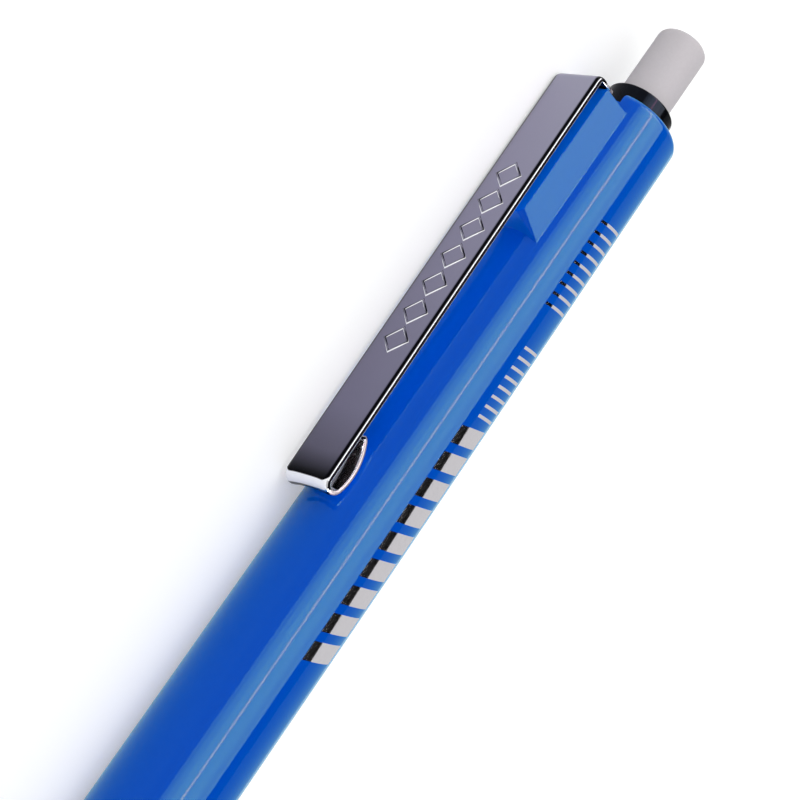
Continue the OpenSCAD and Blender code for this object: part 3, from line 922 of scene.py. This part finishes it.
def make_world():
    """White surroundings for the eye and for gloss, dimmer as a light on the pencil."""
    world = bpy.data.worlds.new("studio")
    bpy.context.scene.world = world
    world.use_nodes = True
    tree = world.node_tree
    background = tree.nodes["Background"].inputs
    background["Color"].default_value = (*WHITE, 1)
    tree.links.new(between(tree, seen_by_eye(tree), 0.0, 1.0, AMBIENT, 1.0), background["Strength"])


def set_panel(panel, place, half_turn, layer=0):
    """Puts a panel into the scene, facing the pencil with its long side along it. Returns its width.

    A half turn about the upright axis puts it on the far side. Each layer is a little nearer to the pencil.
    """
    distance = PANEL_DISTANCE - layer * PANEL_SPACING
    elevation = radians((place["start"] + place["end"]) / 2)
    towards = Vector((0, -cos(elevation), sin(elevation)))
    along = Vector((1, 0, 0))
    matrix = Matrix((along, towards.cross(along), towards)).transposed().to_4x4()
    matrix.translation = along * PANEL_PLACE + towards * distance
    panel.matrix_world = Matrix.Rotation(pi * half_turn, 4, "Z") @ matrix
    panel.visible_camera = False
    bpy.context.scene.collection.objects.link(panel)
    return 2 * distance * tan(radians(place["end"] - place["start"]) / 2)


def add_lamp(name, place, half_turn=False, layer=0):
    """Lamp of an even radiance, which LAMP_POWER turns into watts per square metre."""
    data = bpy.data.lights.new(name, "AREA")
    lamp = bpy.data.objects.new(name, data)
    data.shape = "RECTANGLE"
    data.size = PANEL_LENGTH
    data.size_y = set_panel(lamp, place, half_turn, layer)
    data.energy = LAMP_POWER * data.size * data.size_y * place["radiance"]
    return lamp


def add_front_light():
    """Soft light from the near side that shapes the pencil and its shadow, with no reflection of its own."""
    add_lamp("front_light", FRONT_LIGHT).visible_glossy = False


def add_strip_light(strip, half_turn, layer):
    """Light that shows only as a bright line in reflections."""
    lamp = add_lamp(strip["name"], strip, half_turn, layer)
    lamp.data.color = strip["colour"]
    lamp.visible_diffuse = False


def add_card(card, half_turn):
    """Dark or grey card that shows only in reflections."""
    material = bpy.data.materials.new(card["name"])
    material.use_nodes = True
    shader = material.node_tree.nodes["Principled BSDF"].inputs
    shader["Base Color"].default_value = (*BLACK, 1)
    shader["Specular IOR Level"].default_value = 0.0
    shader["Emission Color"].default_value = (*WHITE, 1)
    shader["Emission Strength"].default_value = card["radiance"]
    mesh = bpy.data.meshes.new(card["name"])
    sheet = bpy.data.objects.new(card["name"], mesh)
    half_w = set_panel(sheet, card, half_turn) / 2
    half_l = PANEL_LENGTH / 2
    corners = [(-half_l, -half_w, 0), (half_l, -half_w, 0), (half_l, half_w, 0), (-half_l, half_w, 0)]
    mesh.from_pydata(corners, [], [(0, 1, 2, 3)])
    mesh.materials.append(material)
    sheet.visible_diffuse = False
    sheet.visible_shadow = False


def add_camera():
    """Camera at the photograph's view of the pencil."""
    clip_side, near, eraser_end = (axis.normalized() for axis in LAID.to_3x3().col)
    tilt, roll, turn = (radians(angle) for angle in (VIEW_TILT, VIEW_ROLL, VIEW_TURN))
    facing = sin(roll) * clip_side + cos(roll) * near
    beside = sin(roll) * near - cos(roll) * clip_side
    along = cos(tilt) * eraser_end + sin(tilt) * facing
    back = cos(tilt) * facing - sin(tilt) * eraser_end
    right = cos(turn) * along + sin(turn) * beside
    up = sin(turn) * along - cos(turn) * beside
    axes = Matrix((right, up, back)).transposed()
    data = bpy.data.cameras.new("camera")
    data.lens = LENS
    camera = bpy.data.objects.new("camera", data)
    camera.matrix_world = axes.to_4x4()
    camera.location = LAID @ Vector((0, 0, ANCHOR_HEIGHT)) - axes @ ANCHOR_IN_VIEW * MM
    bpy.context.scene.collection.objects.link(camera)
    bpy.context.scene.camera = camera


make_floor()
make_world()
add_front_light()
for half_turn in (False, True):
    for layer, strip in enumerate(STRIP_LIGHTS):
        add_strip_light(strip, half_turn, layer)
    for card in CARDS:
        add_card(card, half_turn)
add_camera()
bpy.context.scene.view_settings.view_transform = "Standard"
